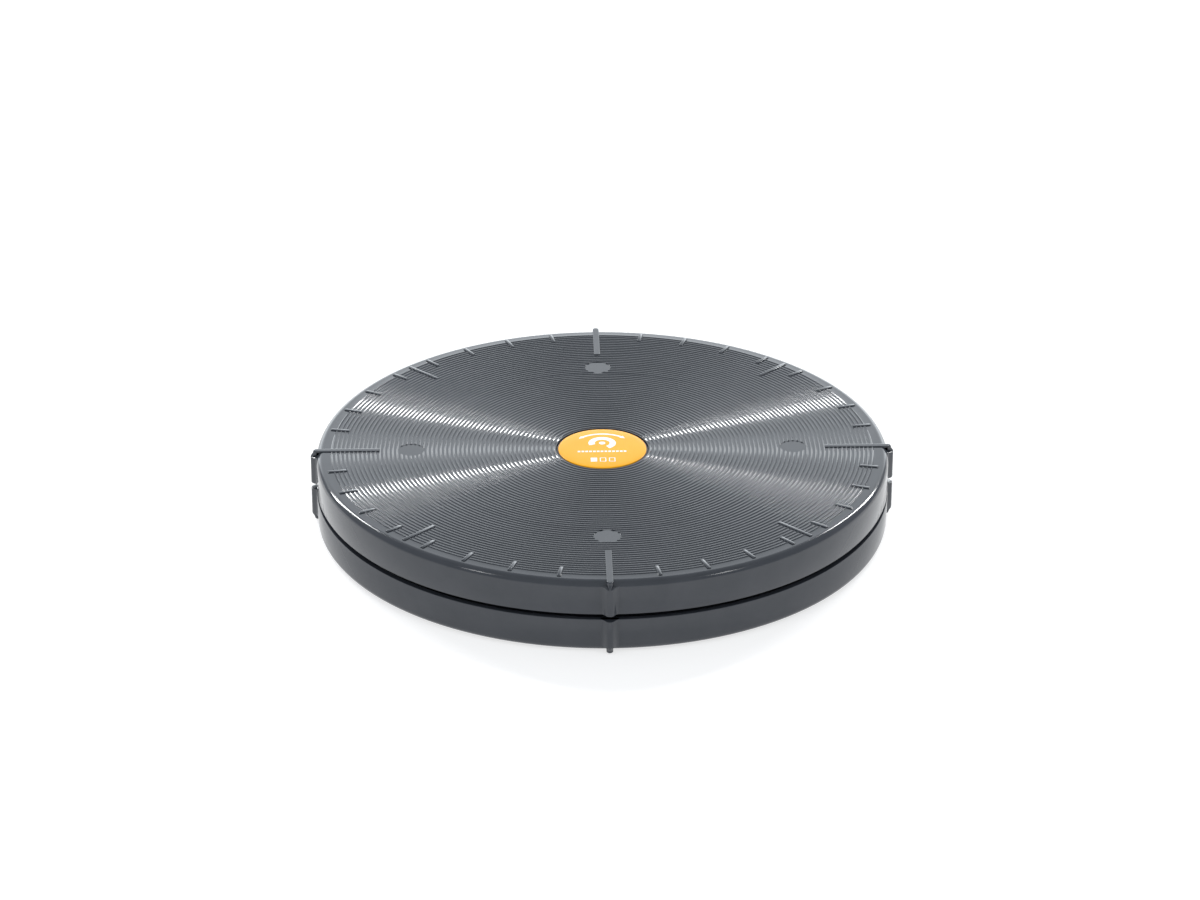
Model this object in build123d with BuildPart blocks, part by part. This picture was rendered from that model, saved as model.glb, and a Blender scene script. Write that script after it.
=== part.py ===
"""Low-profile turntable disc.

Two moulded plastic discs lie face to face with a narrow parting gap. The upper one, the
platform, turns freely on the lower one, the base: a caged ring of steel balls runs between
two pressed steel races near the rim, and a bolt through the middle keeps the discs together
and centred. Both discs have the same tread: concentric ridges with sloping flanks, index marks
every 10 degrees, longer marks at 45 degrees, four index bars that run over the edge and down
the side wall as ribs, and four flat round spots. On the base these spots seat the rubber feet.

Frame: millimetres, +Z up, origin on the floor under the pivot, +X and +Y through index ribs.
Each disc is made with its parting plane at z = 0 and its tread up, then set in place.
"""

import os
from math import cos, radians, sin, sqrt

from build123d import *

os.makedirs("parts", exist_ok=True)

# ---- Driving dimensions of the whole object ----
OVERALL_DIAMETER = 304.8  # across opposite index ribs
BODY_HEIGHT = 39.5  # from the index bars below to those above
PARTING_GAP = 2.9  # between the edges of the two side walls
FOOT_STANDOFF = 0.5  # how far the feet stand below the base's index bars
MID_HEIGHT = FOOT_STANDOFF + BODY_HEIGHT / 2  # the parting plane above the floor

# ---- Moulded disc: plate and side wall ----
BAR_TOP = BODY_HEIGHT / 2
BAR_HEIGHT = 0.5
FACE = BAR_TOP - BAR_HEIGHT  # the flat rim and the floor between the ridges
PLATE = 3.5
INNER_FACE = FACE - PLATE
WALL_EDGE = PARTING_GAP / 2
WALL_RADIUS = 149.2  # where the wall meets the rounded edge
WALL_FOOT_RADIUS = 149.4  # at the parting edge, larger by the mould's draft
WALL_THICKNESS = 3.0
WALL_EDGE_BREAK = 0.5  # the small chamfer around the parting edge
EDGE_RADIUS = 3.6

# ---- Tread: ridges, marks, bars and spots ----
RIDGE_COUNT = 52
RIDGE_PITCH = 2.27
FIRST_RIDGE_RADIUS = 25.4
RIDGE_WIDTH = 1.1  # at the foot
RIDGE_CREST_WIDTH = 0.2
RIDGE_HEIGHT = 0.42
MARK_OUTER_RADIUS = 144.6
MARK_INNER_RADIUS = 134.9
MARK_WIDTH = 2.0
LONG_MARK_INNER_RADIUS = 123.0
BAR_INNER_RADIUS = 116.1
BAR_WIDTH = 3.4
MARK_ROOT = 0.5  # how deep the marks are let into the plate
CORNER_ROUND = 0.4
SPOT_RADIUS = 7.0
SPOT_CIRCLE_RADIUS = 99.8
SPOT_DEPTH = 0.1  # below the flat rim

# ---- Index ribs on the side wall ----
RIB_REACH = OVERALL_DIAMETER / 2
BAR_OUTER_RADIUS = 151.0  # where the top of the bar ends
BAR_END_RADIUS = 151.2  # the foot of its steep end face, on the rib's slope
BAR_END_HEIGHT = BAR_TOP - 1.4
RIB_SHOULDER = 16.7  # height of the rib's upper corner above the parting plane
RIB_TOE = 0.8  # the chamfer at its other end
FLARE_HALF_WIDTH = 3.7
FLARE_TOP = 17.1
NOSE_HALF_WIDTH = 1.15

# ---- Hub, the same in both discs but for the pocket ----
RECESS_RADIUS = 24.2
RECESS_FLOOR = 17.0
HUB_RADIUS = 16.0
HUB_FLARE_RADIUS = 27.0
HUB_FLARE = 11.0
HUB_INNER = 3.0
COUNTERBORE_RADIUS = 14.5
COUNTERBORE_FLOOR = 7.6
HEX_POCKET_FLOOR = 8.6
HEX_POCKET_FLATS = 13.3

# ---- Inside stiffening ----
RADIAL_RIBS = 12
RADIAL_RIB_THICKNESS = 2.0
RADIAL_RIB_EDGE = 7.0
PLATE_ROOT = 1.0  # how deep ribs and bosses are let into the plate
HUB_ROOT = 1.0  # how deep the radial ribs are let into the hub
RING_RIB_RADIUS = 62.0
RING_RIB_THICKNESS = 2.0
LIP_RADIUS = 141.0  # the base's dust lip behind the parting gap
LIP_THICKNESS = 2.0
LIP_REACH = 3.4  # how far it goes past the parting plane

# ---- Ball race ----
BALL_COUNT = 36
BALL_RADIUS = 9.525 / 2
BALL_CIRCLE_RADIUS = 108.0
BALL_CLEARANCE = 0.2
GROOVE_RADIUS = 5.0
GROOVE_HALF_WIDTH = 3.6
RACE_SHEET = 1.6
RACE_INNER_RADIUS = 100.0
RACE_OUTER_RADIUS = 127.0
GROOVE_CENTRE = GROOVE_RADIUS - BALL_RADIUS - BALL_CLEARANCE  # past the parting plane
FLANGE_NEAR = sqrt(GROOVE_RADIUS**2 - GROOVE_HALF_WIDTH**2) - GROOVE_CENTRE
FLANGE_FAR = FLANGE_NEAR + RACE_SHEET
SEAT_WIDTH = 3.0
OUTER_SEAT_RADIUS = 113.0
CAGE_INNER_RADIUS = 101.6
CAGE_OUTER_RADIUS = 114.4
CAGE_THICKNESS = 3.6
POCKET_RADIUS = 4.95

# ---- Race screws ----
SCREW_COUNT = 6
SCREW_CIRCLE_RADIUS = 121.5
SCREW_RADIUS = 1.7
SCREW_LENGTH = 8.0
SCREW_HEAD_RADIUS = 3.5
SCREW_HEAD = 1.7
SCREW_DRIVE_RADIUS = 1.6
SCREW_DRIVE_DEPTH = 0.9
SCREW_FIT = 0.05
RACE_HOLE_RADIUS = 2.1
BOSS_RADIUS = 4.5
PILOT_DEPTH = 9.0

# ---- Pivot ----
BOLT_RADIUS = 4.0
BOLT_HEAD_FLATS = 13.0
BOLT_HEAD = 5.3
BOLT_POINT = 0.6
RUNNING_FIT = 0.05
BUSH_RADIUS = 6.0
BUSH_FLANGE_RADIUS = 10.0
BUSH_FLANGE = 1.5
JAM_NUT = 4.0
SLIP_WASHER_RADIUS = 9.0
SLIP_WASHER = 1.0
SLIP_GAP = 0.15
STEEL_WASHER_RADIUS = 8.0
STEEL_WASHER = 1.6
LOCK_NUT_HEX = 4.4
LOCK_NUT_COLLAR = 1.5
COLLAR_RADIUS = 6.1
INSERT_RADIUS = 5.3
INSERT = 1.1

# ---- Hub caps, label and feet ----
CAP_RADIUS = 23.9
CAP_THICKNESS = 1.7
CAP_CHAMFER = 0.2
SPIGOT_RADIUS = 14.3
SPIGOT_WALL = 1.8
SPIGOT_DEPTH = 2.4
LABEL_RADIUS = 23.05
LABEL_EDGE = 0.35
LABEL_SHOULDER_RADIUS = 22.1
LABEL_SHOULDER = 0.8
LABEL_CROWN = 1.0
FOOT_RADIUS = 6.5
FOOT_ROUND = 0.5

ABOVE = Location((0, 0, MID_HEIGHT))  # sets a disc-frame piece as part of the platform
BELOW = Location((0, 0, MID_HEIGHT), (180, 0, 0))  # the same piece turned over, for the base


def on_circle(radius, degrees):
    """The point of a circle about the pivot axis."""
    return radius * cos(radians(degrees)), radius * sin(radians(degrees))


def disc_section():
    """Half section of a moulded disc: tread, wall, race seats and hub, as one outline."""
    corner_radius = WALL_RADIUS - EDGE_RADIUS
    corner_height = FACE - EDGE_RADIUS
    corner_middle = (
        corner_radius + EDGE_RADIUS * cos(radians(45)),
        corner_height + EDGE_RADIUS * sin(radians(45)),
    )
    with BuildSketch(Plane.XZ) as section:
        with BuildLine():
            Polyline(
                (WALL_FOOT_RADIUS - WALL_EDGE_BREAK, WALL_EDGE),
                (WALL_FOOT_RADIUS, WALL_EDGE + WALL_EDGE_BREAK),
                (WALL_RADIUS, corner_height),
            )
            ThreePointArc((WALL_RADIUS, corner_height), corner_middle, (corner_radius, FACE))
            reached = corner_radius
            for number in reversed(range(RIDGE_COUNT)):
                crest = FIRST_RIDGE_RADIUS + number * RIDGE_PITCH
                outer, inner = crest + RIDGE_WIDTH / 2, crest - RIDGE_WIDTH / 2
                Polyline(
                    (reached, FACE),
                    (outer, FACE),
                    (crest + RIDGE_CREST_WIDTH / 2, FACE + RIDGE_HEIGHT),
                    (crest - RIDGE_CREST_WIDTH / 2, FACE + RIDGE_HEIGHT),
                    (inner, FACE),
                )
                reached = inner
            Polyline(
                (reached, FACE),
                (RECESS_RADIUS, FACE),
                (RECESS_RADIUS, RECESS_FLOOR),
                (0, RECESS_FLOOR),
                (0, HUB_INNER),
                (HUB_RADIUS, HUB_INNER),
                (HUB_RADIUS, HUB_FLARE),
                (HUB_FLARE_RADIUS, INNER_FACE),
                (RING_RIB_RADIUS, INNER_FACE),
                (RING_RIB_RADIUS, RADIAL_RIB_EDGE),
                (RING_RIB_RADIUS + RING_RIB_THICKNESS, RADIAL_RIB_EDGE),
                (RING_RIB_RADIUS + RING_RIB_THICKNESS, INNER_FACE),
                (RACE_INNER_RADIUS, INNER_FACE),
                (RACE_INNER_RADIUS, FLANGE_FAR),
                (RACE_INNER_RADIUS + SEAT_WIDTH, FLANGE_FAR),
                (RACE_INNER_RADIUS + SEAT_WIDTH, INNER_FACE),
                (OUTER_SEAT_RADIUS, INNER_FACE),
                (OUTER_SEAT_RADIUS, FLANGE_FAR),
                (OUTER_SEAT_RADIUS + SEAT_WIDTH, FLANGE_FAR),
                (OUTER_SEAT_RADIUS + SEAT_WIDTH, INNER_FACE),
                (WALL_RADIUS - WALL_THICKNESS, INNER_FACE),
                (WALL_FOOT_RADIUS - WALL_THICKNESS, WALL_EDGE),
                (WALL_FOOT_RADIUS - WALL_EDGE_BREAK, WALL_EDGE),
            )
        make_face()
    return section.sketch


def index_rib():
    """One rib down the side wall at +X: a narrow fin, and a flared foot either side of it."""
    root = WALL_RADIUS - WALL_THICKNESS / 2
    with BuildPart() as fin:
        with BuildSketch(Plane.XZ):
            with BuildLine():
                Polyline(
                    (root, WALL_EDGE),
                    (RIB_REACH - RIB_TOE, WALL_EDGE),
                    (RIB_REACH, WALL_EDGE + RIB_TOE),
                    (RIB_REACH, RIB_SHOULDER),
                    (BAR_END_RADIUS, BAR_END_HEIGHT),
                    (BAR_OUTER_RADIUS, BAR_TOP),
                    (BAR_INNER_RADIUS, BAR_TOP),
                    (BAR_INNER_RADIUS, FACE - MARK_ROOT),
                    (root, FACE - MARK_ROOT),
                    close=True,
                )
            make_face()
        extrude(amount=BAR_WIDTH / 2, both=True)
        chamfered = fin.edges().filter_by(Axis.Z).sort_by(Axis.X)[-2:]
        chamfer(chamfered, length=BAR_WIDTH / 2 - NOSE_HALF_WIDTH)
    with BuildPart() as flare:
        with BuildSketch(Plane.XY.offset(WALL_EDGE)):
            with BuildLine():
                Polyline(
                    (root, -FLARE_HALF_WIDTH),
                    (WALL_RADIUS, -FLARE_HALF_WIDTH),
                    (RIB_REACH, -NOSE_HALF_WIDTH),
                    (RIB_REACH, NOSE_HALF_WIDTH),
                    (WALL_RADIUS, FLARE_HALF_WIDTH),
                    (root, FLARE_HALF_WIDTH),
                    close=True,
                )
            make_face()
        extrude(amount=FLARE_TOP - WALL_EDGE)
        with BuildSketch(Plane.XZ):
            with BuildLine():
                Polyline(
                    (root, WALL_EDGE),
                    (RIB_REACH - RIB_TOE, WALL_EDGE),
                    (RIB_REACH, WALL_EDGE + RIB_TOE),
                    (RIB_REACH, RIB_SHOULDER - (FLARE_TOP - RIB_SHOULDER)),
                    (WALL_RADIUS, FLARE_TOP),
                    (root, FLARE_TOP),
                    close=True,
                )
            make_face()
        extrude(amount=FLARE_HALF_WIDTH, both=True, mode=Mode.INTERSECT)
    return fin.part, flare.part


def moulded_disc(for_base):
    """A moulded disc in its own frame. The base's has a dust lip and a hexagonal hub pocket."""
    section = disc_section()
    fin, flare = index_rib()
    with BuildPart() as disc:
        add(section)
        revolve(axis=Axis.Z)

        with BuildSketch(Plane.XY.offset(FACE - MARK_ROOT)):
            for degrees in range(10, 90, 10):
                with PolarLocations((MARK_INNER_RADIUS + MARK_OUTER_RADIUS) / 2, 4, degrees):
                    length = MARK_OUTER_RADIUS - MARK_INNER_RADIUS
                    RectangleRounded(length, MARK_WIDTH, CORNER_ROUND)
            with PolarLocations((LONG_MARK_INNER_RADIUS + MARK_OUTER_RADIUS) / 2, 4, 45):
                length = MARK_OUTER_RADIUS - LONG_MARK_INNER_RADIUS
                RectangleRounded(length, MARK_WIDTH, CORNER_ROUND)
        extrude(amount=MARK_ROOT + BAR_HEIGHT)

        with PolarLocations(0, 4):
            add(fin)
            add(flare)

        with BuildSketch(Plane.XY.offset(FACE - SPOT_DEPTH)):
            with PolarLocations(SPOT_CIRCLE_RADIUS, 4):
                Circle(SPOT_RADIUS)
        extrude(amount=SPOT_DEPTH + BAR_HEIGHT, mode=Mode.SUBTRACT)

        with BuildSketch(Plane.XY.offset(RADIAL_RIB_EDGE)):
            inner, outer = HUB_RADIUS - HUB_ROOT, WALL_RADIUS - WALL_THICKNESS / 2
            with PolarLocations((inner + outer) / 2, RADIAL_RIBS):
                Rectangle(outer - inner, RADIAL_RIB_THICKNESS)
        extrude(amount=INNER_FACE - RADIAL_RIB_EDGE + PLATE_ROOT)

        with BuildSketch(Plane.XY.offset(FLANGE_FAR)):
            with PolarLocations(SCREW_CIRCLE_RADIUS, SCREW_COUNT):
                Circle(BOSS_RADIUS)
        extrude(amount=INNER_FACE - FLANGE_FAR + PLATE_ROOT)
        with BuildSketch(Plane.XY.offset(FLANGE_FAR)):
            with PolarLocations(SCREW_CIRCLE_RADIUS, SCREW_COUNT):
                Circle(SCREW_RADIUS + SCREW_FIT)
        extrude(amount=PILOT_DEPTH, mode=Mode.SUBTRACT)

        if for_base:
            with BuildSketch(Plane.XY.offset(-LIP_REACH)):
                Circle(LIP_RADIUS)
                Circle(LIP_RADIUS - LIP_THICKNESS, mode=Mode.SUBTRACT)
            extrude(amount=LIP_REACH + INNER_FACE + PLATE_ROOT)
            pocket_floor, bore_radius = HEX_POCKET_FLOOR, BOLT_RADIUS + RUNNING_FIT
            with BuildSketch(Plane.XY.offset(pocket_floor)):
                RegularPolygon(HEX_POCKET_FLATS / 2, 6, major_radius=False)
            extrude(amount=RECESS_FLOOR - pocket_floor, mode=Mode.SUBTRACT)
        else:
            pocket_floor, bore_radius = COUNTERBORE_FLOOR, BUSH_RADIUS
            with BuildSketch(Plane.XY.offset(pocket_floor)):
                Circle(COUNTERBORE_RADIUS)
            extrude(amount=RECESS_FLOOR - pocket_floor, mode=Mode.SUBTRACT)
        with BuildSketch(Plane.XY.offset(HUB_INNER)):
            Circle(bore_radius)
        extrude(amount=pocket_floor - HUB_INNER, mode=Mode.SUBTRACT)
    return disc.part


def pressed_race():
    """A race pressed from sheet, with its groove towards the parting plane."""
    far_radius = GROOVE_RADIUS + RACE_SHEET
    far_half_width = sqrt(far_radius**2 - (FLANGE_FAR + GROOVE_CENTRE) ** 2)
    middle = BALL_CIRCLE_RADIUS
    with BuildPart() as race:
        with BuildSketch(Plane.XZ):
            with BuildLine():
                Polyline(
                    (middle - GROOVE_HALF_WIDTH, FLANGE_NEAR),
                    (RACE_INNER_RADIUS, FLANGE_NEAR),
                    (RACE_INNER_RADIUS, FLANGE_FAR),
                    (middle - far_half_width, FLANGE_FAR),
                )
                ThreePointArc(
                    (middle - far_half_width, FLANGE_FAR),
                    (middle, far_radius - GROOVE_CENTRE),
                    (middle + far_half_width, FLANGE_FAR),
                )
                Polyline(
                    (middle + far_half_width, FLANGE_FAR),
                    (RACE_OUTER_RADIUS, FLANGE_FAR),
                    (RACE_OUTER_RADIUS, FLANGE_NEAR),
                    (middle + GROOVE_HALF_WIDTH, FLANGE_NEAR),
                )
                ThreePointArc(
                    (middle + GROOVE_HALF_WIDTH, FLANGE_NEAR),
                    (middle, GROOVE_RADIUS - GROOVE_CENTRE),
                    (middle - GROOVE_HALF_WIDTH, FLANGE_NEAR),
                )
            make_face()
        revolve(axis=Axis.Z)
        with BuildSketch(Plane.XY.offset(FLANGE_NEAR)):
            with PolarLocations(SCREW_CIRCLE_RADIUS, SCREW_COUNT):
                Circle(RACE_HOLE_RADIUS)
        extrude(amount=RACE_SHEET, mode=Mode.SUBTRACT)
    return race.part


def race_screws():
    """The screws that hold one race, heads towards the parting plane."""
    head_top = FLANGE_NEAR - SCREW_HEAD
    with BuildPart() as screws:
        with BuildSketch(Plane.XY.offset(head_top)):
            with PolarLocations(SCREW_CIRCLE_RADIUS, SCREW_COUNT):
                Circle(SCREW_HEAD_RADIUS)
        extrude(amount=SCREW_HEAD)
        fillet(screws.edges().group_by(Axis.Z)[0], radius=SCREW_HEAD / 2)
        with BuildSketch(Plane.XY.offset(FLANGE_NEAR)):
            with PolarLocations(SCREW_CIRCLE_RADIUS, SCREW_COUNT):
                Circle(SCREW_RADIUS)
        extrude(amount=SCREW_LENGTH)
        with BuildSketch(Plane.XY.offset(head_top)):
            with PolarLocations(SCREW_CIRCLE_RADIUS, SCREW_COUNT):
                RegularPolygon(SCREW_DRIVE_RADIUS, 6)
        extrude(amount=SCREW_DRIVE_DEPTH, mode=Mode.SUBTRACT)
    return screws.part


def hub_cap():
    """The cap that closes a hub recess."""
    with BuildPart() as cap:
        with BuildSketch(Plane.XY.offset(RECESS_FLOOR)):
            Circle(CAP_RADIUS)
        extrude(amount=CAP_THICKNESS)
        chamfer(cap.edges().group_by(Axis.Z)[-1], length=CAP_CHAMFER)
    return cap.part


def cap_spigot():
    """The spigot ring under the platform's cap."""
    with BuildPart() as ring:
        with BuildSketch(Plane.XY.offset(RECESS_FLOOR - SPIGOT_DEPTH)):
            Circle(SPIGOT_RADIUS)
            Circle(SPIGOT_RADIUS - SPIGOT_WALL, mode=Mode.SUBTRACT)
        extrude(amount=SPIGOT_DEPTH)
    return ring.part


def write(part, name):
    """Labels a finished piece and writes its STEP file."""
    part.label = name
    export_step(part, f"parts/{name}.step")


upper_moulding = moulded_disc(for_base=False)
lower_moulding = moulded_disc(for_base=True)
race = pressed_race()
screws = race_screws()
cap = hub_cap()
spigot = cap_spigot()

# ---- The two discs ----
with BuildPart() as platform_disc:
    with Locations(ABOVE):
        add(upper_moulding)
write(platform_disc.part, "platform_disc")

with BuildPart() as base_disc:
    with Locations(BELOW):
        add(lower_moulding)
write(base_disc.part, "base_disc")

# ---- Races and their screws ----
with BuildPart() as platform_race:
    with Locations(ABOVE):
        add(race)
write(platform_race.part, "platform_race")

with BuildPart() as base_race:
    with Locations(BELOW):
        add(race)
write(base_race.part, "base_race")

with BuildPart() as platform_race_screws:
    with Locations(ABOVE):
        add(screws)
write(platform_race_screws.part, "platform_race_screws")

with BuildPart() as base_race_screws:
    with Locations(BELOW):
        add(screws)
write(base_race_screws.part, "base_race_screws")

# ---- Balls and cage ----
with BuildPart() as ball_cage:
    with BuildSketch(Plane.XY.offset(MID_HEIGHT)):
        Circle(CAGE_OUTER_RADIUS)
        Circle(CAGE_INNER_RADIUS, mode=Mode.SUBTRACT)
        with PolarLocations(BALL_CIRCLE_RADIUS, BALL_COUNT):
            Circle(POCKET_RADIUS, mode=Mode.SUBTRACT)
    extrude(amount=CAGE_THICKNESS / 2, both=True)
write(ball_cage.part, "ball_cage")

with BuildPart() as bearing_balls:
    for number in range(BALL_COUNT):
        x, y = on_circle(BALL_CIRCLE_RADIUS, number * 360 / BALL_COUNT)
        with Locations((x, y, MID_HEIGHT)):
            Sphere(BALL_RADIUS)
write(bearing_balls.part, "bearing_balls")

# ---- Pivot, from the base upwards ----
HEAD_SEAT = MID_HEIGHT - HEX_POCKET_FLOOR
JAM_SEAT = MID_HEIGHT - HUB_INNER
SLIP_SEAT = MID_HEIGHT + COUNTERBORE_FLOOR
WASHER_SEAT = SLIP_SEAT + SLIP_WASHER + SLIP_GAP
NUT_SEAT = WASHER_SEAT + STEEL_WASHER
NUT_TOP = NUT_SEAT + LOCK_NUT_HEX + LOCK_NUT_COLLAR

with BuildPart() as pivot_bolt:
    with BuildSketch(Plane.XY.offset(HEAD_SEAT - BOLT_HEAD)):
        RegularPolygon(BOLT_HEAD_FLATS / 2, 6, major_radius=False)
    extrude(amount=BOLT_HEAD)
    with BuildSketch(Plane.XY.offset(HEAD_SEAT)):
        Circle(BOLT_RADIUS)
    extrude(amount=NUT_TOP - HEAD_SEAT)
    chamfer(pivot_bolt.edges().group_by(Axis.Z)[-1], length=BOLT_POINT)
write(pivot_bolt.part, "pivot_bolt")

with BuildPart() as jam_nut:
    with BuildSketch(Plane.XY.offset(JAM_SEAT)):
        RegularPolygon(BOLT_HEAD_FLATS / 2, 6, major_radius=False)
        Circle(BOLT_RADIUS, mode=Mode.SUBTRACT)
    extrude(amount=JAM_NUT)
write(jam_nut.part, "jam_nut")

with BuildPart() as hub_bush:
    flange_bottom = MID_HEIGHT + HUB_INNER - BUSH_FLANGE
    with BuildSketch(Plane.XY.offset(flange_bottom)):
        Circle(BUSH_FLANGE_RADIUS)
    extrude(amount=BUSH_FLANGE)
    with BuildSketch(Plane.XY.offset(flange_bottom)):
        Circle(BUSH_RADIUS)
    extrude(amount=SLIP_SEAT - flange_bottom)
    with BuildSketch(Plane.XY.offset(flange_bottom)):
        Circle(BOLT_RADIUS + RUNNING_FIT)
    extrude(amount=SLIP_SEAT - flange_bottom, mode=Mode.SUBTRACT)
write(hub_bush.part, "hub_bush")

with BuildPart() as slip_washer:
    with BuildSketch(Plane.XY.offset(SLIP_SEAT)):
        Circle(SLIP_WASHER_RADIUS)
        Circle(BOLT_RADIUS + RUNNING_FIT, mode=Mode.SUBTRACT)
    extrude(amount=SLIP_WASHER)
write(slip_washer.part, "slip_washer")

with BuildPart() as steel_washer:
    with BuildSketch(Plane.XY.offset(WASHER_SEAT)):
        Circle(STEEL_WASHER_RADIUS)
        Circle(BOLT_RADIUS + RUNNING_FIT, mode=Mode.SUBTRACT)
    extrude(amount=STEEL_WASHER)
write(steel_washer.part, "steel_washer")

with BuildPart() as lock_nut:
    with BuildSketch(Plane.XY.offset(NUT_SEAT)):
        RegularPolygon(BOLT_HEAD_FLATS / 2, 6, major_radius=False)
    extrude(amount=LOCK_NUT_HEX)
    with BuildSketch(Plane.XY.offset(NUT_SEAT + LOCK_NUT_HEX)):
        Circle(COLLAR_RADIUS)
    extrude(amount=LOCK_NUT_COLLAR)
    with BuildSketch(Plane.XY.offset(NUT_SEAT)):
        Circle(BOLT_RADIUS)
    extrude(amount=NUT_TOP - NUT_SEAT, mode=Mode.SUBTRACT)
    with BuildSketch(Plane.XY.offset(NUT_TOP - INSERT)):
        Circle(INSERT_RADIUS)
    extrude(amount=INSERT, mode=Mode.SUBTRACT)
write(lock_nut.part, "lock_nut")

with BuildPart() as lock_nut_insert:
    with BuildSketch(Plane.XY.offset(NUT_TOP - INSERT)):
        Circle(INSERT_RADIUS)
        Circle(BOLT_RADIUS, mode=Mode.SUBTRACT)
    extrude(amount=INSERT)
write(lock_nut_insert.part, "lock_nut_insert")

# ---- Hub caps and label ----
with BuildPart() as platform_hub_cap:
    with Locations(ABOVE):
        add(cap)
        add(spigot)
write(platform_hub_cap.part, "platform_hub_cap")

with BuildPart() as base_hub_cap:
    with Locations(BELOW):
        add(cap)
write(base_hub_cap.part, "base_hub_cap")

with BuildPart() as domed_label:
    with BuildSketch(Plane.XZ):
        label_bottom = MID_HEIGHT + RECESS_FLOOR + CAP_THICKNESS
        edge_top = label_bottom + LABEL_EDGE
        shoulder = label_bottom + LABEL_SHOULDER
        crown = label_bottom + LABEL_CROWN
        with BuildLine():
            Polyline((0, crown), (0, label_bottom), (LABEL_RADIUS, label_bottom), (LABEL_RADIUS, edge_top))
            Spline(
                (LABEL_RADIUS, edge_top),
                (LABEL_SHOULDER_RADIUS, shoulder),
                (0, crown),
                tangents=((0, 1), (-1, 0)),
            )
        make_face()
    revolve(axis=Axis.Z)
write(domed_label.part, "domed_label")

# ---- Rubber feet in the base's round spots ----
FOOT_TOP = MID_HEIGHT - FACE + SPOT_DEPTH
for number, side in enumerate(("right", "back", "left", "front")):
    x, y = on_circle(SPOT_CIRCLE_RADIUS, number * 90)
    with BuildPart() as foot:
        with BuildSketch(Plane.XY):
            with Locations((x, y)):
                Circle(FOOT_RADIUS)
        extrude(amount=FOOT_TOP)
        fillet(foot.edges().group_by(Axis.Z)[0], radius=FOOT_ROUND)
    write(foot.part, f"foot_{side}")
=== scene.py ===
"""Looks for the low turntable: fine moulded discs, label, materials, stage, lights and camera.

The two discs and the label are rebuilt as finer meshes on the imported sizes. Everything else
keeps its CAD mesh and gets a material. Lengths here are in millimetres unless a name ends in _M.
"""

from math import acos, cos, degrees, hypot, pi, radians, sin, sqrt

import bmesh
import bpy
import numpy as np
from mathutils import Matrix, Vector


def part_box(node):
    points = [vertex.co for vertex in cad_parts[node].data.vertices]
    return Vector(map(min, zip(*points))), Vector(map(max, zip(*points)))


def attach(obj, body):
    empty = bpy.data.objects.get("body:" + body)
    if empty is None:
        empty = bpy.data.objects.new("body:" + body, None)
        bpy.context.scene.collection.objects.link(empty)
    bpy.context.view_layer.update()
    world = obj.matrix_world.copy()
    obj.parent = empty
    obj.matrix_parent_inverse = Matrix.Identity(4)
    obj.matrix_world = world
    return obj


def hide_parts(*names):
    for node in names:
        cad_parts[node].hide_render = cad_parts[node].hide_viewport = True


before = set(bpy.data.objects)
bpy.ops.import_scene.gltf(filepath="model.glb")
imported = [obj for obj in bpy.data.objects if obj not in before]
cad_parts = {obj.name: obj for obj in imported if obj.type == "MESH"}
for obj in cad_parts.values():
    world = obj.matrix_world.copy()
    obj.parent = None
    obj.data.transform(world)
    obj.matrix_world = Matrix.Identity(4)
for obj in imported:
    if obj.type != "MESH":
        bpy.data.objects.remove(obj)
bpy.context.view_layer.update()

MM = 0.001  # one millimetre in metres

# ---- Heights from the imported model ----
MID = (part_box("bearing_balls")[0][2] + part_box("bearing_balls")[1][2]) / 2 / MM
BAR_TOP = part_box("platform_disc")[1][2] / MM - MID
RIB_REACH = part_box("platform_disc")[1][0] / MM
LABEL_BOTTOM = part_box("domed_label")[0][2] / MM
LABEL_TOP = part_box("domed_label")[1][2] / MM

# ---- Disc section, in the disc's own frame: parting plane at 0, tread up ----
BAR_HEIGHT = 0.5
PLATE = 3.5
FACE = BAR_TOP - BAR_HEIGHT
INNER_FACE = FACE - PLATE
WALL_EDGE = 1.45
WALL_RADIUS = 149.2
WALL_FOOT_RADIUS = 149.4
WALL_THICKNESS = 3.0
EDGE_BREAK_IN = 0.12  # the steep broken corner at the parting edge
EDGE_BREAK_UP = 0.26
EDGE_RADIUS = 3.6
EDGE_STEPS = 12
RIDGE_COUNT = 52
RIDGE_PITCH = 2.27
FIRST_RIDGE = 25.40
RIDGE_HALF_PROFILE = (  # distance from the crest and height: crest, round, flank, round foot
    (0.0, 0.42),
    (0.08, 0.405),
    (0.16, 0.345),
    (0.46, 0.055),
    (0.53, 0.012),
    (0.61, 0.0),
)
RECESS_RADIUS = 24.2
RECESS_FLOOR = 17.0

# ---- Inside of a disc: hub, seats for the ball race, ribs, screw bosses and dust lip ----
HUB_RADIUS = 16.0
HUB_INNER = 3.0
HUB_FLARE_RADIUS = 27.0
HUB_FLARE = 11.0
HEXAGON_FLATS = 13.3
HEXAGON_FLOOR = 8.6
BOLT_HOLE_RADIUS = 4.05
COUNTERBORE_RADIUS = 14.5
COUNTERBORE_FLOOR = 7.6
BUSH_RADIUS = 6.0
FLANGE_FAR = 5.03
RIB_EDGE = 7.0
RINGS_INSIDE = (  # inner radius, outer radius and height of the rib and the two seats
    (62, 64, RIB_EDGE),
    (100, 103, FLANGE_FAR),
    (113, 116, FLANGE_FAR),
)
LIP_RADII = (139, 141)
LIP_REACH = 3.4
RADIAL_RIBS = 12
RADIAL_RIB_ENDS = (15.5, 147.5)
RADIAL_RIB_HALF = 1
BOSSES = 6
BOSS_CIRCLE = 121.5
BOSS_RADIUS = 4.5
BOSS_HOLE_RADIUS = 1.75
ROOT = 1  # how deep ribs and bosses are let into the plate

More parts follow.
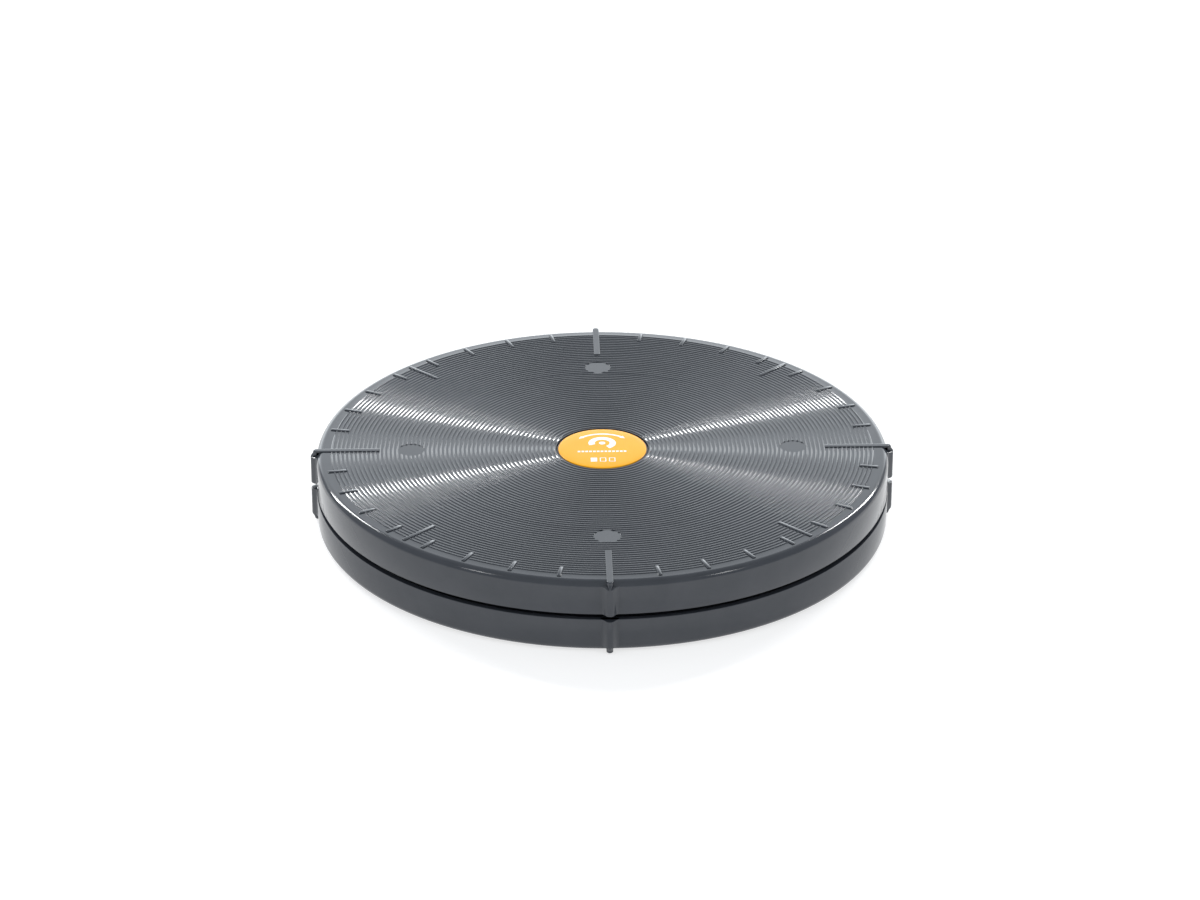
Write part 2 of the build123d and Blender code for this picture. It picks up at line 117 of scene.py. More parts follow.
# ---- Round spots, marks, bars and ribs ----
SPOT_RADIUS = 7.0
SPOT_CIRCLE = 99.8
SPOT_FLOOR = FACE - 0.1
WINDOW = 6.0  # degrees either side of an index bar in which columns bend round a spot
WINDOW_STEPS = 7
COLUMN_STEP = 2.6
MARK_OUTER = 144.6
MARK_INNER = 134.9
LONG_MARK_INNER = 123.0
MARK_WIDTH = 2.0
MARK_CORNER = 0.4
MARK_ROOT = 0.5
TOP_BREAK = 0.22  # the softened top edge of marks and bars
TOP_BREAK_MID = 0.07  # how far below the top a mark's edge is part way in
BAR_INNER = 116.1
BAR_OUTER = 151.0
BAR_NOSE = 1.5  # how far the bar's end curves back at its sides
BAR_WIDTH = 3.4
BAR_DEPTH = 2.4
BAR_END_DROP = 1.4
BAR_END_LEAN = 0.2  # how far the steep end face leans out
RIB_SHOULDER = 16.7
RIB_INSET = 0.02  # keeps the fin just inside the flared foot's nose
RIB_EDGE_LIFT = 0.1
FIN_HALF = 1.0
FIN_ROOT_RADIUS = 147.0
NOSE_HALF = 1.15
FLARE_HALF = 3.7
FLARE_RUN_OUT = 0.9  # how much wider the flare is inside the wall
FLARE_TOP = 17.1


def mesh_object(name, verts, faces, body, sharp=35.0, weld=True):
    """A smooth-shaded object from points in millimetres, riding on a body of the frame."""
    mesh = bpy.data.meshes.new(name)
    mesh.from_pydata([tuple(c * MM for c in v) for v in verts], [], faces)
    bm = bmesh.new()
    bm.from_mesh(mesh)
    if weld:
        bmesh.ops.remove_doubles(bm, verts=bm.verts, dist=2e-6)
    bmesh.ops.recalc_face_normals(bm, faces=bm.faces)
    for face in bm.faces:
        face.smooth = True
    bm.to_mesh(mesh)
    bm.free()
    mesh.set_sharp_from_angle(angle=radians(sharp))
    obj = bpy.data.objects.new(name, mesh)
    bpy.context.scene.collection.objects.link(obj)
    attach(obj, body)
    return obj


class Shape:
    """Points and faces gathered from several closed solids."""

    def __init__(self):
        self.verts = []
        self.faces = []

    def grid(self, rows, close_rows=False, close_columns=False):
        """Quads over rows of points, all rows of one length."""
        start, width = len(self.verts), len(rows[0])
        for row in rows:
            self.verts.extend(row)
        row_count = len(rows)
        for i in range(row_count if close_rows else row_count - 1):
            for j in range(width if close_columns else width - 1):
                a = start + i * width + j
                b = start + i * width + (j + 1) % width
                c = start + ((i + 1) % row_count) * width + (j + 1) % width
                d = start + ((i + 1) % row_count) * width + j
                self.faces.append((a, b, c, d))

    def cap(self, ring):
        """One face over a ring of points."""
        start = len(self.verts)
        self.verts.extend(ring)
        self.faces.append(tuple(range(start, start + len(ring))))

    def stack(self, rings):
        """A closed solid from rings of equal length, bottom to top."""
        self.grid(rings, close_columns=True)
        self.cap(rings[0])
        self.cap(rings[-1])

    def turned(self, place):
        """The points moved by a function of (x, y, z)."""
        self.verts = [place(*v) for v in self.verts]


def polar(radius, angle, z):
    """The point at a radius, an angle in degrees and a height."""
    return radius * cos(radians(angle)), radius * sin(radians(angle)), z


def turn(points, angle):
    """The points turned about the pivot axis by an angle in degrees."""
    c, s = cos(radians(angle)), sin(radians(angle))
    return [(x * c - y * s, x * s + y * c, z) for x, y, z in points]


# ---- Profiles ----
def ridge_profile():
    """Radius and height over the tread, from the flat rim in to the recess."""
    points = []
    for number in reversed(range(RIDGE_COUNT)):
        crest = FIRST_RIDGE + number * RIDGE_PITCH
        points += [(crest + reach, FACE + height) for reach, height in reversed(RIDGE_HALF_PROFILE)]
        points += [(crest - reach, FACE + height) for reach, height in RIDGE_HALF_PROFILE[1:]]
    return points


def with_spot_rows(points):
    """The profile with rows added exactly at a spot's inner and outer radius."""
    result = []
    for (r0, z0), (r1, z1) in zip(points, points[1:] + points[-1:]):
        result.append((r0, z0))
        for limit in (SPOT_CIRCLE + SPOT_RADIUS, SPOT_CIRCLE - SPOT_RADIUS):
            if r1 < limit < r0:
                share = (r0 - limit) / (r0 - r1)
                result.append((limit, z0 + share * (z1 - z0)))
    return result


def outer_profile():
    """Radius and height from the parting edge up the wall and over the rounded edge."""
    points = [
        (WALL_FOOT_RADIUS - EDGE_BREAK_IN, WALL_EDGE),
        (WALL_FOOT_RADIUS, WALL_EDGE + EDGE_BREAK_UP),
    ]
    for step in range(EDGE_STEPS + 1):
        tilt = pi / 2 * step / EDGE_STEPS
        points.append(
            (
                WALL_RADIUS - EDGE_RADIUS + EDGE_RADIUS * cos(tilt),
                FACE - EDGE_RADIUS + EDGE_RADIUS * sin(tilt),
            )
        )
    return points


def inner_profile(for_base):
    """Radius and height from the recess through the hub and back along the inside."""
    if for_base:
        pocket, pocket_floor, bore = "hexagon", HEXAGON_FLOOR, BOLT_HOLE_RADIUS
    else:
        pocket, pocket_floor, bore = COUNTERBORE_RADIUS, COUNTERBORE_FLOOR, BUSH_RADIUS
    points = [
        (RECESS_RADIUS, FACE),
        (RECESS_RADIUS, RECESS_FLOOR),
        (pocket, RECESS_FLOOR),
        (pocket, pocket_floor),
        (bore, pocket_floor),
        (bore, HUB_INNER),
        (HUB_RADIUS, HUB_INNER),
        (HUB_RADIUS, HUB_FLARE),
        (HUB_FLARE_RADIUS, INNER_FACE),
    ]
    rings = RINGS_INSIDE + ((*LIP_RADII, -LIP_REACH),) if for_base else RINGS_INSIDE
    for inner, outer, height in rings:
        points += [(inner, INNER_FACE), (inner, height), (outer, height), (outer, INNER_FACE)]
    points += [
        (WALL_RADIUS - WALL_THICKNESS, INNER_FACE),
        (WALL_FOOT_RADIUS - WALL_THICKNESS, WALL_EDGE),
    ]
    return points


def row_radius(radius, angle):
    """The radius at an angle, which varies only on the hexagonal pocket."""
    if radius == "hexagon":
        return HEXAGON_FLATS / 2 / cos(radians(angle % 60 - 30))
    return radius


def spot_angle(radius):
    """Half the angle, in degrees, that a spot takes out of a circle of this radius."""
    if radius == "hexagon" or abs(radius - SPOT_CIRCLE) >= SPOT_RADIUS:
        return 0.0
    value = (radius**2 + SPOT_CIRCLE**2 - SPOT_RADIUS**2) / (2 * radius * SPOT_CIRCLE)
    return degrees(acos(min(1.0, value)))


def quadrant_angles(first, bent):
    """The columns of one quadrant, bent away from the index bars by the angle given."""
    near = [bent + (WINDOW - bent) * k / WINDOW_STEPS for k in range(WINDOW_STEPS)]
    count = round((90 - 2 * WINDOW) / COLUMN_STEP)
    middle = [WINDOW + k * COLUMN_STEP for k in range(count + 1)]
    far = [90 - a for a in reversed(near)]
    return [first + a for a in near + middle + far]


def add_moulding(shape, for_base):
    """The revolved body of a disc, its columns bent round the four spots."""
    tread = with_spot_rows(ridge_profile())
    first_tread = len(outer_profile())
    profile = outer_profile() + tread + inner_profile(for_base)
    rows_with_spot = [
        k
        for k in range(first_tread, first_tread + len(tread))
        if abs(profile[k][0] - SPOT_CIRCLE) <= SPOT_RADIUS + 1e-6
    ]
    for quadrant in range(4):
        rows = []
        for k, (radius, z) in enumerate(profile):
            bent = spot_angle(radius) if k in rows_with_spot else 0.0
            angles = quadrant_angles(quadrant * 90, bent)
            rows.append([polar(row_radius(radius, a), a, z) for a in angles])
        shape.grid(rows, close_rows=True)
        walls, floor = {}, []
        for k in rows_with_spot:
            radius, z = profile[k]
            bent = spot_angle(radius)
            floor.append([polar(radius, quadrant * 90 + side * bent, SPOT_FLOOR) for side in (-1, 1)])
            for side in (-1, 1):
                angle = quadrant * 90 + side * bent
                pair = [polar(radius, angle, z), polar(radius, angle, SPOT_FLOOR)]
                walls.setdefault(side, []).append(pair)
        for side in (-1, 1):
            shape.grid(walls[side])
        shape.grid(floor)


def rounded_outline(x0, x1, half, corner):
    """A rounded rectangle about the x axis, as (x, y) points."""
    points = []
    corners = ((x1 - corner, half - corner, 0), (x0 + corner, half - corner, 90))
    corners += ((x0 + corner, corner - half, 180), (x1 - corner, corner - half, 270))
    for cx, cy, first in corners:
        for step in range(4):
            angle = radians(first + 30 * step)
            points.append((cx + corner * cos(angle), cy + corner * sin(angle)))
    return points


def add_mark(shape, inner, angle):
    """A raised mark with a slightly broken top edge."""
    half = MARK_WIDTH / 2
    rings = []
    for share, z in (
        (0, FACE - MARK_ROOT),
        (0, BAR_TOP - TOP_BREAK),
        (0.3, BAR_TOP - TOP_BREAK_MID),
        (1, BAR_TOP),
    ):
        inset = share * TOP_BREAK
        outline = rounded_outline(inner + inset, MARK_OUTER - inset, half - inset, MARK_CORNER)
        rings.append(turn([(x, y, z) for x, y in outline], angle))
    shape.stack(rings)


def soft_polyline(points, radii, steps=5):
    """The polyline with each inner corner turned into a short curve of that length."""
    result = [points[0]]
    for before, corner, after, reach in zip(points, points[1:], points[2:], radii):
        a, c, b = Vector(before), Vector(corner), Vector(after)
        start = c + (a - c).normalized() * reach
        end = c + (b - c).normalized() * reach
        for step in range(steps + 1):
            t = step / steps
            result.append(tuple(start * (1 - t) ** 2 + c * 2 * t * (1 - t) + end * t**2))
    result.append(points[-1])
    return result


BAR_CORNER_REACHES = (0.05, 0.6, 0.4, 0.7, 0.8)  # one per inner corner of a bar's path
ACROSS_BAR = (-1, -0.67, -0.33, 0, 0.33, 0.67, 1)  # points over the flat top, as shares of its half


def add_bar(shape, angle):
    """An index bar with a rounded end and the fin it turns into, one strip with broken corners."""
    line = [
        (BAR_INNER, BAR_TOP),
        (BAR_OUTER - 2 * BAR_NOSE, BAR_TOP),
        (BAR_OUTER, BAR_TOP),
        (BAR_OUTER + BAR_END_LEAN, BAR_TOP - BAR_END_DROP),
        (RIB_REACH - RIB_INSET, RIB_SHOULDER),
        (RIB_REACH - RIB_INSET, WALL_EDGE + RIB_EDGE_LIFT),
        (FIN_ROOT_RADIUS, WALL_EDGE + RIB_EDGE_LIFT),
    ]
    path = soft_polyline(line, BAR_CORNER_REACHES)
    rows = []
    for k, (x, z) in enumerate(path):
        before, after = path[max(k - 1, 0)], path[min(k + 1, len(path) - 1)]
        along = Vector((after[0] - before[0], after[1] - before[1])).normalized()
        out = Vector((-along[1], along[0]))
        fall = (BAR_TOP - BAR_END_DROP - z) / (BAR_TOP - BAR_END_DROP - RIB_SHOULDER)
        half = BAR_WIDTH / 2 - (BAR_WIDTH / 2 - FIN_HALF) * min(1.0, max(0.0, fall))
        nose = BAR_NOSE * min(1.0, max(0.0, x - BAR_OUTER + 2 * BAR_NOSE) / (2 * BAR_NOSE))
        row = [(-half, BAR_DEPTH), (-half, 2 * TOP_BREAK), (0.35 * TOP_BREAK - half, TOP_BREAK / 2)]
        row += [(share * (half - 1.3 * TOP_BREAK), 0) for share in ACROSS_BAR]
        row += [(half - 0.35 * TOP_BREAK, TOP_BREAK / 2), (half, 2 * TOP_BREAK), (half, BAR_DEPTH)]
        rows.append([(x - out[0] * d - nose * (y / half) ** 2, y, z - out[1] * d) for y, d in row])
    rows = [turn(row, angle) for row in rows]
    shape.grid(rows, close_columns=True)
    shape.cap(rows[0])
    shape.cap(rows[-1])


def flare_outline():
    """The flared foot of a rib in plan: a rounded nose and sides that run out into the wall."""
    root = WALL_RADIUS - WALL_THICKNESS / 2
    corners = [
        (root, FLARE_HALF + FLARE_RUN_OUT),
        (WALL_RADIUS - 0.1, FLARE_HALF + FLARE_RUN_OUT),
        (WALL_RADIUS + 0.35, FLARE_HALF - 0.2),
        (RIB_REACH, NOSE_HALF),
        (RIB_REACH, 0.0),
    ]
    side = soft_polyline(corners, (0.05, 1.1, 1.1))
    return [(x, -y) for x, y in side[:-1]] + [(x, y) for x, y in reversed(side)]


def add_flare(shape, angle):
    """The flared foot on both sides of a rib, cut off on a slope at its top."""
    outline = flare_outline()
    slope = 2 * (FLARE_TOP - RIB_SHOULDER) / (RIB_REACH - WALL_RADIUS)
    rings = []
    for inset, lift in ((0.3, 0.0), (0.08, 0.1), (0.0, 0.35)):
        rings.append([(x - inset, y, WALL_EDGE + lift) for x, y in outline])
    for inset, width, drop in ((0.0, 1.0, 0.5), (0.1, 0.98, 0.15), (0.35, 0.93, 0.0)):
        ring = []
        for x, y in outline:
            top = FLARE_TOP - max(0.0, x - WALL_RADIUS) * slope
            ring.append((x - inset, y * width, top - drop))
        rings.append(ring)
    shape.stack([turn(ring, angle) for ring in rings])


def add_inner_ribs(shape):
    """Radial stiffening ribs and the screw bosses on the inside."""
    near, far, half = *RADIAL_RIB_ENDS, RADIAL_RIB_HALF
    outline = [(near, -half), (far, -half), (far, half), (near, half)]
    for number in range(RADIAL_RIBS):
        rings = [[(x, y, z) for x, y in outline] for z in (RIB_EDGE, INNER_FACE + ROOT)]
        shape.stack([turn(ring, number * 360 / RADIAL_RIBS) for ring in rings])
    boss = (
        (BOSS_HOLE_RADIUS, FLANGE_FAR),
        (BOSS_RADIUS, FLANGE_FAR),
        (BOSS_RADIUS, INNER_FACE + ROOT),
        (BOSS_HOLE_RADIUS, INNER_FACE + ROOT),
    )
    for number in range(BOSSES):
        rows = []
        for radius, z in boss:
            circle = [polar(radius, a, z) for a in range(0, 360, 15)]
            rows.append(turn([(BOSS_CIRCLE + x, y, z) for x, y, z in circle], number * 360 / BOSSES))
        shape.grid(rows, close_rows=True, close_columns=True)


def disc(name, node, body, for_base):
    """A whole moulded disc in place of its CAD node."""
    shape = Shape()
    add_moulding(shape, for_base)
    for number in range(36):
        if number % 9:
            add_mark(shape, MARK_INNER, number * 10)
    for number in range(4):
        add_mark(shape, LONG_MARK_INNER, 45 + number * 90)
        add_bar(shape, number * 90)
        add_flare(shape, number * 90)
    add_inner_ribs(shape)
    if for_base:
        shape.turned(lambda x, y, z: (x, -y, MID - z))
    else:
        shape.turned(lambda x, y, z: (x, y, MID + z))
    obj = mesh_object(name, shape.verts, shape.faces, body)
    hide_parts(node)
    return obj


# ---- Label ----
LABEL_RADIUS = 23.05
LABEL_EDGE = 0.35
LABEL_ROWS = 40
PRINT_LIFT = 0.02


def dome_height(radius):
    """Height of the label's dome at a radius: a steep round edge and a gentle crown."""
    share = min(1.0, radius / LABEL_RADIUS)
    crown = LABEL_TOP - LABEL_BOTTOM - LABEL_EDGE
    gentle = 1 - share**5
    steep = sqrt(max(0.0, 1 - share**40))
    return LABEL_BOTTOM + LABEL_EDGE + crown * (0.6 * gentle + 0.4 * steep)


def label_dome():
    """The label itself, in place of its CAD node."""
    radii = [LABEL_RADIUS * sin(pi / 2 * k / LABEL_ROWS) for k in range(LABEL_ROWS, 0, -1)]
    columns = range(0, 360, 3)
    rows = [[polar(LABEL_RADIUS, a, LABEL_BOTTOM) for a in columns]]
    rows += [[polar(r, a, dome_height(r)) for a in columns] for r in radii]
    shape = Shape()
    shape.stack(rows)
    obj = mesh_object("label_dome", shape.verts, shape.faces, "platform", sharp=60)
    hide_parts("domed_label")
    return obj


def print_patch(shape, outline_rows):
    """A thin printed patch that follows the dome. Rows are lists of (x, y)."""
    rows = [[(x, y, dome_height(hypot(x, y)) + PRINT_LIFT) for x, y in row] for row in outline_rows]
    shape.grid(rows)


def ring_patch(shape, cy, inner, outer, first=0, last=360, steps=48):
    """A ring, or part of one, round a point of the y axis."""
    rows = []
    for radius in (inner, (inner + outer) / 2, outer):
        angles = [radians(first + (last - first) * k / steps) for k in range(steps + 1)]
        rows.append([(radius * cos(a), cy + radius * sin(a)) for a in angles])
    print_patch(shape, rows)


def box_patch(shape, x0, x1, y0, y1):
    """A filled box."""
    shares = (0, 0.25, 0.5, 0.75, 1)
    rows = []
    for down in shares:
        y = y0 + (y1 - y0) * down
        rows.append([(x0 + (x1 - x0) * across, y) for across in shares])
    print_patch(shape, rows)


def frame_patch(shape, x0, x1, y0, y1, line):
    """The outline of a box."""
    box_patch(shape, x0, x1, y0, y0 + line)
    box_patch(shape, x0, x1, y1 - line, y1)
    box_patch(shape, x0, x0 + line, y0 + line, y1 - line)
    box_patch(shape, x1 - line, x1, y0 + line, y1 - line)


def arrow_patch(shape, radius, angle, direction, size):
    """An arrow head on a circle about the label's centre."""
    base, tip = angle, angle + direction * degrees(size * 1.5 / radius)
    rows = []
    for k in range(5):
        a = radians(base + (tip - base) * k / 4)
        half = size * (1 - k / 4) * 0.75
        reaches = (radius - half, radius, radius + half)
        rows.append([(reach * cos(a), reach * sin(a)) for reach in reaches])
    print_patch(shape, rows)


PIVOT_Y = 5.4  # middle of the open ring and its dot
ARC_ENDS = (52, 128)  # degrees
ARROW_RADIUS = 16.3
ARROW_SIZE = 1.9
DASH_Y = (-5.2, -3.6)
BOX_Y = (-16.2, -11.8)
BOX_LINE = 0.45


def label_print():
    """Generic white print: an open ring round a dot, an arc with arrow heads, dashes and boxes."""
    shape = Shape()
    ring_patch(shape, PIVOT_Y, 3.9, 7.2, -60, 200)
    ring_patch(shape, PIVOT_Y, 0.05, 1.7, steps=24)
    ring_patch(shape, 0, 15.6, 17.0, *ARC_ENDS)
    arrow_patch(shape, ARROW_RADIUS, ARC_ENDS[0], -1, ARROW_SIZE)
    arrow_patch(shape, ARROW_RADIUS, ARC_ENDS[1], 1, ARROW_SIZE)
    for start in range(-13, 13, 2):
        box_patch(shape, start, start + 1.4, *DASH_Y)
    box_patch(shape, -6.4, -3.1, *BOX_Y)
    frame_patch(shape, -1.65, 1.65, *BOX_Y, BOX_LINE)
    frame_patch(shape, 3.1, 6.4, *BOX_Y, BOX_LINE)
    obj = mesh_object("label_print", shape.verts, shape.faces, "platform", weld=False)
    for polygon in obj.data.polygons:
        if polygon.normal.z < 0:
            polygon.flip()
    return obj


# ---- Materials ----
def new_material(name):
    """A material with its node tree and its shader."""
    material = bpy.data.materials.new(name)
    material.use_nodes = True
    tree = material.node_tree
    return material, tree, tree.nodes["Principled BSDF"]


def noise(tree, scale, detail):
    """A noise texture that stays with the object."""
    coords = tree.nodes.new("ShaderNodeTexCoord")
    node = tree.nodes.new("ShaderNodeTexNoise")
    node.inputs["Scale"].default_value = scale
    node.inputs["Detail"].default_value = detail
    tree.links.new(coords.outputs["Object"], node.inputs["Vector"])
    return node.outputs["Fac"]


def ramp(tree, source, stops):
    """The colour at a place between stops, each a place and a colour."""
    node = tree.nodes.new("ShaderNodeValToRGB")
    elements = node.color_ramp.elements
    while len(elements) < len(stops):
        elements.new(0.5)
    for element, (place, colour) in zip(elements, stops):
        element.position = place
        element.color = (*colour, 1.0)
    tree.links.new(source, node.inputs["Fac"])
    return node.outputs["Color"]


def spread(tree, source, low, high, source_low=0.0, source_high=1.0):
    """A value mapped from one range to another."""
    node = tree.nodes.new("ShaderNodeMapRange")
    node.inputs["From Min"].default_value = source_low
    node.inputs["From Max"].default_value = source_high
    node.inputs["To Min"].default_value = low
    node.inputs["To Max"].default_value = high
    tree.links.new(source, node.inputs["Value"])
    return node.outputs["Result"]


def bump(tree, shader, source, distance):
    """Roughens a shader's normals by a value, over a height in metres."""
    node = tree.nodes.new("ShaderNodeBump")
    node.inputs["Strength"].default_value = 1.0
    node.inputs["Distance"].default_value = distance
    tree.links.new(source, node.inputs["Height"])
    tree.links.new(node.outputs["Normal"], shader.inputs["Normal"])


CLOUD_SCALE = 60.0  # cloudy changes of colour, per metre
SMUDGE_SCALE = 36.0  # larger changes of roughness


def surface(name, dark, light, rough, grain_m, metallic=0.0, depth_m=2e-6, specular=0.5):
    """A material with cloudy colour and roughness and a fine grain in its bump."""
    material, tree, shader = new_material(name)
    tint = ramp(tree, noise(tree, CLOUD_SCALE, 5.0), ((0.3, dark), (0.7, light)))
    tree.links.new(tint, shader.inputs["Base Color"])
    smudges = noise(tree, SMUDGE_SCALE, 6.0)
    tree.links.new(spread(tree, smudges, *rough), shader.inputs["Roughness"])
    bump(tree, shader, noise(tree, 1.0 / grain_m, 2.0), depth_m)
    shader.inputs["Metallic"].default_value = metallic
    shader.inputs["Specular IOR Level"].default_value = specular
    return material


disc_plastic = surface(
    "moulded_grey",
    dark=(0.038, 0.043, 0.052),
    light=(0.046, 0.051, 0.061),
    rough=(0.10, 0.14),
    grain_m=0.0006,
    depth_m=1.5e-7,
)
cap_plastic = surface(
    "cap_black",
    dark=(0.015, 0.016, 0.018),
    light=(0.025, 0.026, 0.028),
    rough=(0.35, 0.5),
    grain_m=0.0005,
)
label_resin = surface(
    "label_orange",
    dark=(0.95, 0.42, 0.008),
    light=(0.98, 0.45, 0.012),
    rough=(0.20, 0.28),
    grain_m=0.0008,
    specular=0.2,
)
print_white = surface(
    "print_white",
    dark=(0.93, 0.93, 0.92),
    light=(0.97, 0.97, 0.96),
    rough=(0.25, 0.35),
    grain_m=0.0005,
)
race_steel = surface(
    "pressed_steel",
    dark=(0.45, 0.46, 0.47),
    light=(0.6, 0.6, 0.6),
    rough=(0.22, 0.4),
    grain_m=0.0004,
    metallic=1.0,
)
zinc_steel = surface(
    "zinc_plated",
    dark=(0.5, 0.51, 0.52),
    light=(0.65, 0.65, 0.62),
    rough=(0.25, 0.42),
    grain_m=0.0003,
    metallic=1.0,
)
ball_steel = surface(
    "polished_steel",
    dark=(0.7, 0.7, 0.71),
    light=(0.76, 0.76, 0.77),
    rough=(0.04, 0.1),
    grain_m=0.0003,
    metallic=1.0,
    depth_m=2e-7,
)
nylon = surface(
    "natural_nylon",
    dark=(0.68, 0.65, 0.56),
    light=(0.78, 0.75, 0.67),
    rough=(0.35, 0.5),
    grain_m=0.0006,
)
blue_nylon = surface(
    "blue_nylon",
    dark=(0.02, 0.07, 0.3),
    light=(0.03, 0.1, 0.38),
    rough=(0.35, 0.5),
    grain_m=0.0005,
)
brass = surface(
    "turned_brass",
    dark=(0.6, 0.42, 0.16),
    light=(0.72, 0.52, 0.22),
    rough=(0.2, 0.35),
    grain_m=0.0003,
    metallic=1.0,
)
rubber = surface(
    "foot_rubber",
    dark=(0.012, 0.012, 0.013),
    light=(0.022, 0.022, 0.023),
    rough=(0.6, 0.8),
    grain_m=0.0005,
    depth_m=8e-6,
)

NODE_MATERIALS = {
    "platform_hub_cap": cap_plastic,
    "base_hub_cap": cap_plastic,
    "platform_race": race_steel,
    "base_race": race_steel,
    "platform_race_screws": zinc_steel,
    "base_race_screws": zinc_steel,
    "ball_cage": nylon,
    "bearing_balls": ball_steel,
    "pivot_bolt": zinc_steel,
    "jam_nut": zinc_steel,
    "hub_bush": brass,
    "slip_washer": nylon,
    "steel_washer": zinc_steel,
    "lock_nut": zinc_steel,
    "lock_nut_insert": blue_nylon,
    "foot_right": rubber,
    "foot_back": rubber,
    "foot_left": rubber,
    "foot_front": rubber,
}


def set_material(obj, material):
    obj.data.materials.clear()
    obj.data.materials.append(material)


def carry_over(obj, material):
    """Gives a CAD node a better material in the slots that it has."""
    for slot in obj.material_slots:
        slot.material = material


set_material(disc("platform_moulding", "platform_disc", "platform", False), disc_plastic)
set_material(disc("base_moulding", "base_disc", "base", True), disc_plastic)
set_material(label_dome(), label_resin)
set_material(label_print(), print_white)
for node_name, node_material in NODE_MATERIALS.items():
    carry_over(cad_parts[node_name], node_material)

# ---- Stage ----
FLOOR_HALF_M = 6
floor_mesh = bpy.data.meshes.new("floor")
corners = [(x * FLOOR_HALF_M, y * FLOOR_HALF_M, 0) for x, y in ((-1, -1), (1, -1), (1, 1), (-1, 1))]
floor_mesh.from_pydata(corners, [], [(0, 1, 2, 3)])
floor = bpy.data.objects.new("floor", floor_mesh)
bpy.context.scene.collection.objects.link(floor)
floor_material, _, floor_shader = new_material("floor_white")
floor_shader.inputs["Base Color"].default_value = (0.5, 0.5, 0.5, 1)
floor_shader.inputs["Emission Color"].default_value = (1, 1, 1, 1)
floor_shader.inputs["Emission Strength"].default_value = 0.68
floor_shader.inputs["Roughness"].default_value = 0.9
floor_shader.inputs["Specular IOR Level"].default_value = 0.1
set_material(floor, floor_material)

world = bpy.data.worlds.new("studio")
bpy.context.scene.world = world
world.use_nodes = True
SURROUND_LEVEL = 3.0
BACKDROP_STOPS = (  # share of the level, by angle from the back horizon (0) over the top (0.5)
    (0.0, 0.98),
    (0.075, 0.94),
    (0.13, 0.54),
    (0.17, 0.51),
    (0.198, 0.44),
    (0.228, 0.28),
    (0.265, 0.19),
    (1.0, 0.19),
)
BACKDROP_TINT = (0.93, 0.98, 1.02)
ROOM = (0.165, 0.173, 0.187)  # share of the level to the left and right of the backdrop
BACKDROP_HALF_WIDTH = (0.49, 0.55)  # as the sideways part of a direction: full up to, gone from
studio = world.node_tree
background = studio.nodes["Background"]
background.inputs["Strength"].default_value = SURROUND_LEVEL
direction = studio.nodes.new("ShaderNodeTexCoord")
split = studio.nodes.new("ShaderNodeSeparateXYZ")
studio.links.new(direction.outputs["Generated"], split.inputs["Vector"])
turn_over = studio.nodes.new("ShaderNodeMath")
turn_over.operation = "ARCTAN2"
studio.links.new(split.outputs["Z"], turn_over.inputs[0])
studio.links.new(split.outputs["Y"], turn_over.inputs[1])
over_the_top = spread(studio, turn_over.outputs["Value"], 0.0, 1.0, 0.0, pi)
stops = []
for place, value in BACKDROP_STOPS:
    stops.append((place, [value * part for part in BACKDROP_TINT]))
backdrop = ramp(studio, over_the_top, stops)
sideways = studio.nodes.new("ShaderNodeMath")
sideways.operation = "ABSOLUTE"
studio.links.new(split.outputs["X"], sideways.inputs[0])
beside = spread(studio, sideways.outputs["Value"], 0.0, 1.0, *BACKDROP_HALF_WIDTH)
surround = studio.nodes.new("ShaderNodeMix")
surround.data_type = "RGBA"
surround.inputs["B"].default_value = (*ROOM, 1.0)
studio.links.new(beside, surround.inputs["Factor"])
studio.links.new(backdrop, surround.inputs["A"])
studio.links.new(surround.outputs["Result"], background.inputs["Color"])

LAMP_DISTANCE_M = 2.2


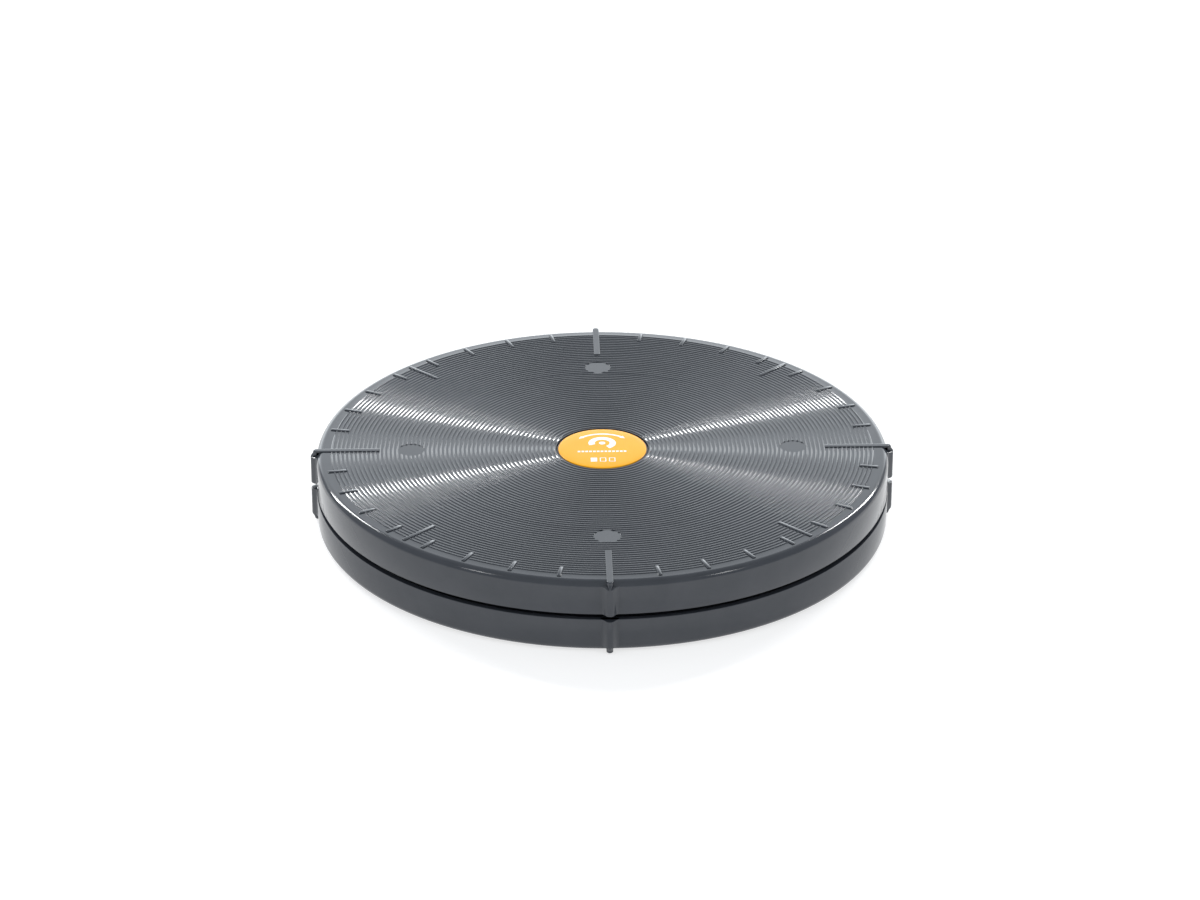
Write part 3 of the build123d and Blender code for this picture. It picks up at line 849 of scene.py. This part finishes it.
def softbox(name, one_end, other_end, width, radiance):
    """A strip lamp facing the part, its long axis between two directions seen from the part."""
    start, end = (Vector(way).normalized() * LAMP_DISTANCE_M for way in (one_end, other_end))
    lamp = bpy.data.lights.new(name, "AREA")
    lamp.shape = "RECTANGLE"
    lamp.size, lamp.size_y = width, (end - start).length
    lamp.energy = radiance * pi * lamp.size * lamp.size_y
    middle = (start + end) / 2
    away = middle.normalized()
    across = (end - start).cross(away).normalized()
    along = away.cross(across)
    obj = bpy.data.objects.new(name, lamp)
    facing = Matrix((across, along, away)).transposed().to_4x4()
    obj.matrix_world = Matrix.Translation(middle + Vector((0, 0, MID * MM))) @ facing
    bpy.context.scene.collection.objects.link(obj)


softbox("back_strip_left", (-0.70, 0.61, 0.37), (-0.39, 0.62, 0.68), 0.16, 48.0)
softbox("back_strip_right", (0.66, 0.63, 0.40), (0.37, 0.64, 0.68), 0.16, 48.0)
softbox("front_box_left", (-0.69, -0.47, 0.55), (-0.59, -0.47, 0.66), 0.35, 8.0)
softbox("front_box_right", (0.66, -0.50, 0.56), (0.56, -0.50, 0.66), 0.35, 8.0)

# ---- Camera ----
CAMERA_AZIMUTH = radians(-1.5)
CAMERA_ELEVATION = radians(26.14)
CAMERA_DISTANCE_M = 2.192
CAMERA_ROLL = radians(0.12)
CAMERA_TARGET = 19.4  # above the parting plane
LENS, SENSOR_WIDTH = 125.85, 36.0
SHIFT = (-0.0020, -0.0016)
camera_data = bpy.data.cameras.new("camera")
camera_data.lens = LENS
camera_data.sensor_width = SENSOR_WIDTH
camera_data.shift_x, camera_data.shift_y = SHIFT
camera = bpy.data.objects.new("camera", camera_data)
back = Vector(
    (
        sin(CAMERA_AZIMUTH) * cos(CAMERA_ELEVATION),
        -cos(CAMERA_AZIMUTH) * cos(CAMERA_ELEVATION),
        sin(CAMERA_ELEVATION),
    )
)
target = Vector((0, 0, (MID + CAMERA_TARGET) * MM))
right = Vector((0, 0, 1)).cross(back).normalized()
up = back.cross(right)
right_rolled = right * cos(CAMERA_ROLL) + up * sin(CAMERA_ROLL)
up_rolled = up * cos(CAMERA_ROLL) - right * sin(CAMERA_ROLL)
axes = Matrix((right_rolled, up_rolled, back)).transposed().to_4x4()
camera.matrix_world = Matrix.Translation(target + back * CAMERA_DISTANCE_M) @ axes
bpy.context.scene.collection.objects.link(camera)
bpy.context.scene.camera = camera
bpy.context.scene.view_settings.view_transform = "Standard"
